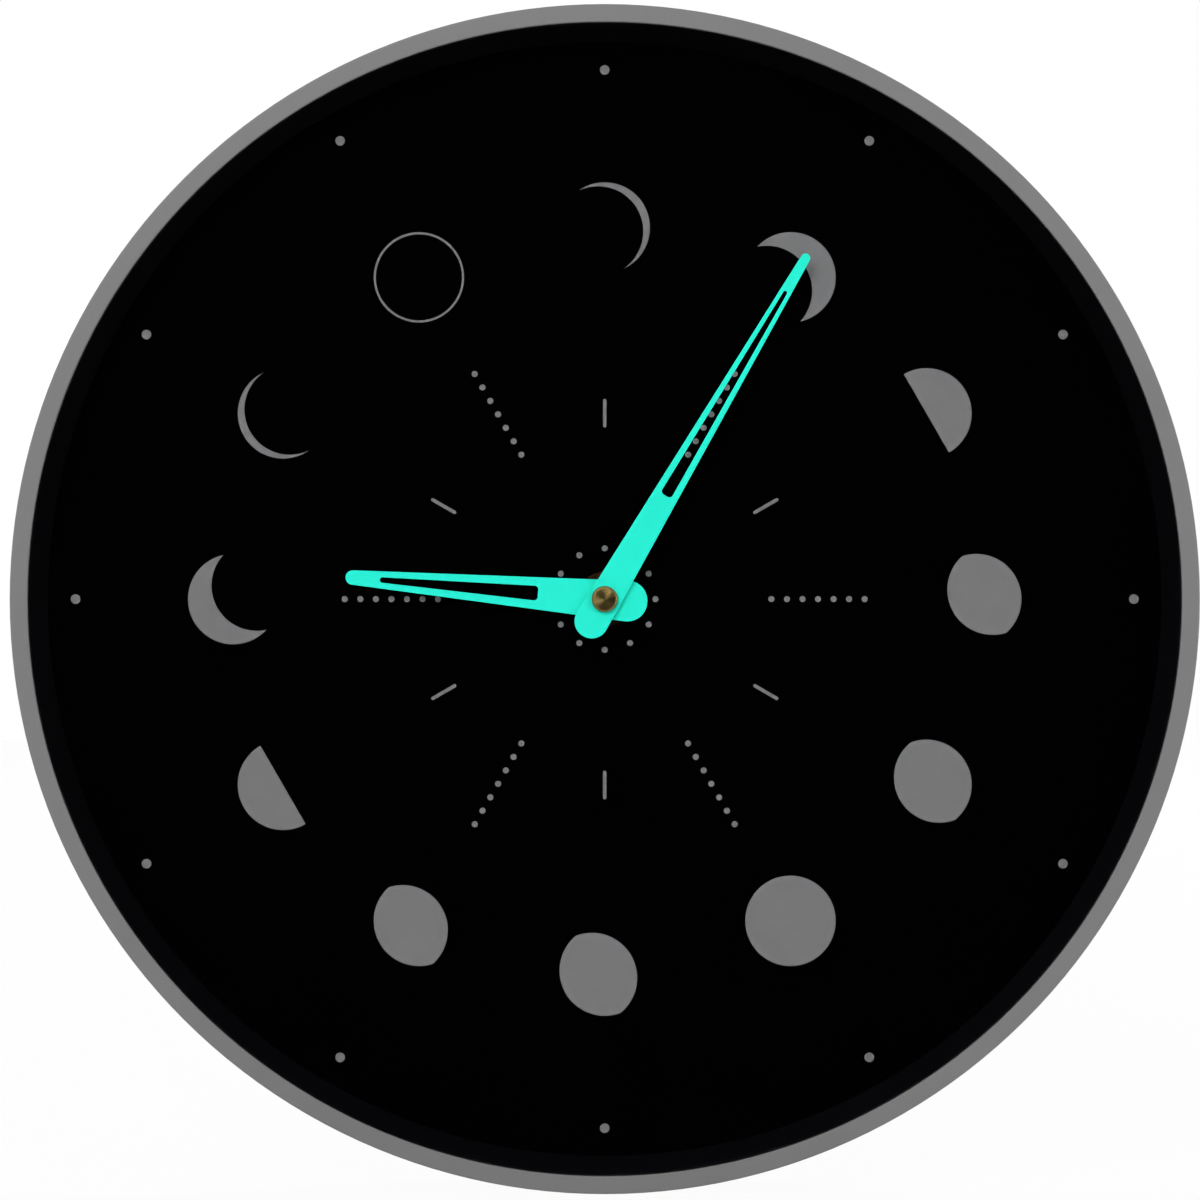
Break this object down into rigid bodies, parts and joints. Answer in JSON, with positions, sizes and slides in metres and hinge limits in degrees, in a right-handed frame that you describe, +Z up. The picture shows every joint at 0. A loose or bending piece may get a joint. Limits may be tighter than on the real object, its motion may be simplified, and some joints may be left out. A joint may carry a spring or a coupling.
{
  "type": "glass wall clock",
  "caption": "Round wall clock under a flat cover glass, with a black dial that shows the phases of the moon, pale aqua hands and a battery quartz movement hung on a steel bracket.",
  "frame": {"origin": "on the axis of the hands, halfway through the depth of the case, which is the middle of the bounding box", "axes": "+X to the right as the clock is read, +Y from the front to the wall, +Z up"},
  "size_m": [0.3, 0.036, 0.3],
  "materials": {
    "case_grey": "moulded plastic with a satin grey paint",
    "clear_glass": "flat clear glass",
    "black_matt": "deep black matt",
    "print_grey": "matt grey ink",
    "black_plastic": "moulded black plastic, fine grain",
    "zinc_steel": "bright zinc plating",
    "brass": "turned brass, lightly dulled",
    "rubber": "matt black rubber",
    "white_plastic": "moulded natural white plastic",
    "copper_wire": "enamelled copper wire",
    "green_board": "green solder mask",
    "magnet_grey": "sintered magnet",
    "battery_jacket": "printed foil jacket, no lettering",
    "aqua_lacquer": "satin aqua lacquer"
  },
  "bodies": {
    "clock": {"case_ring": "case_grey", "front_glass": "clear_glass", "spacer_ring": "black_matt", "dial_plate": "black_matt", "moon_12_thin_crescent": "print_grey", "moon_1_crescent": "print_grey", "moon_2_first_quarter": "print_grey", "moon_3_gibbous": "print_grey", "moon_4_near_full": "print_grey", "moon_5_full": "print_grey", "moon_6_past_full": "print_grey", "moon_7_waning_gibbous": "print_grey", "moon_8_last_quarter": "print_grey", "moon_9_waning_crescent": "print_grey", "moon_10_thin_waning_crescent": "print_grey", "moon_11_new": "print_grey", "back_plate": "black_plastic", "plate_screw_1": "zinc_steel", "plate_screw_2": "zinc_steel", "plate_screw_3": "zinc_steel", "plate_screw_4": "zinc_steel", "plate_screw_5": "zinc_steel", "plate_screw_6": "zinc_steel", "wall_hanger": "zinc_steel", "threaded_bush": "brass", "rubber_washer": "rubber", "brass_washer": "brass", "hex_nut": "brass", "movement_case": "black_plastic", "movement_cover": "black_plastic", "train_plate": "white_plastic", "stator": "zinc_steel", "coil_core": "zinc_steel", "coil_bobbin": "white_plastic", "coil_winding": "copper_wire", "circuit_board": "green_board", "control_chip": "black_plastic", "quartz_crystal": "zinc_steel", "contact_positive": "zinc_steel", "contact_negative": "zinc_steel"},
    "minute_set": {"minute_arbor": "brass", "minute_hand": "aqua_lacquer", "cap_nut": "brass"},
    "hour_set": {"hour_wheel": "brass", "hour_hand": "aqua_lacquer"},
    "motion_set": {"motion_wheel": "white_plastic"},
    "knob_set": {"setting_knob": "white_plastic"},
    "seconds_set": {"seconds_wheel": "white_plastic"},
    "rotor_set": {"rotor_pinion": "white_plastic", "rotor_magnet": "magnet_grey"},
    "intermediate_set": {"intermediate_wheel": "white_plastic"},
    "third_set": {"third_wheel": "white_plastic"},
    "centre_set": {"centre_wheel": "white_plastic"},
    "cell": {"battery": "battery_jacket"}
  },
  "joints": [
    {"name": "minute_turn", "type": "hinge", "parent": "clock", "child": "minute_set", "pos_m": [0, 0, 0], "axis": [0, 1, 0], "continuous": true},
    {"name": "hour_turn", "type": "hinge", "parent": "clock", "child": "hour_set", "pos_m": [0, 0, 0], "axis": [0, 1, 0], "continuous": true},
    {"name": "motion_turn", "type": "hinge", "parent": "clock", "child": "motion_set", "pos_m": [0.008, 0, 0], "axis": [0, 1, 0], "continuous": true},
    {"name": "setting_turn", "type": "hinge", "parent": "clock", "child": "knob_set", "pos_m": [0.01599, 0, -0.00291], "axis": [0, 1, 0], "continuous": true},
    {"name": "seconds_turn", "type": "hinge", "parent": "clock", "child": "seconds_set", "pos_m": [0, 0, 0], "axis": [0, 1, 0], "continuous": true},
    {"name": "rotor_turn", "type": "hinge", "parent": "clock", "child": "rotor_set", "pos_m": [0.00804, 0, 0.01395], "axis": [0, 1, 0], "continuous": true},
    {"name": "intermediate_turn", "type": "hinge", "parent": "clock", "child": "intermediate_set", "pos_m": [0.00804, 0, 0.00675], "axis": [0, 1, 0], "continuous": true},
    {"name": "third_turn", "type": "hinge", "parent": "clock", "child": "third_set", "pos_m": [-0.01016, 0, 0.00089], "axis": [0, 1, 0], "continuous": true},
    {"name": "centre_turn", "type": "hinge", "parent": "clock", "child": "centre_set", "pos_m": [0, 0, 0], "axis": [0, 1, 0], "continuous": true},
    {"name": "battery_slide", "type": "slide", "parent": "clock", "child": "cell", "axis": [0, 1, 0], "range_m": [0, 0.03]}
  ],
  "couplings": [
    {"joint": "hour_turn", "follows": "minute_turn", "ratio": 0.083333},
    {"joint": "motion_turn", "follows": "minute_turn", "ratio": -0.33333},
    {"joint": "setting_turn", "follows": "minute_turn", "ratio": 0.8},
    {"joint": "rotor_turn", "follows": "seconds_turn", "ratio": 30},
    {"joint": "intermediate_turn", "follows": "seconds_turn", "ratio": -6},
    {"joint": "third_turn", "follows": "seconds_turn", "ratio": -0.13333},
    {"joint": "centre_turn", "follows": "seconds_turn", "ratio": 0.016667}
  ]
}
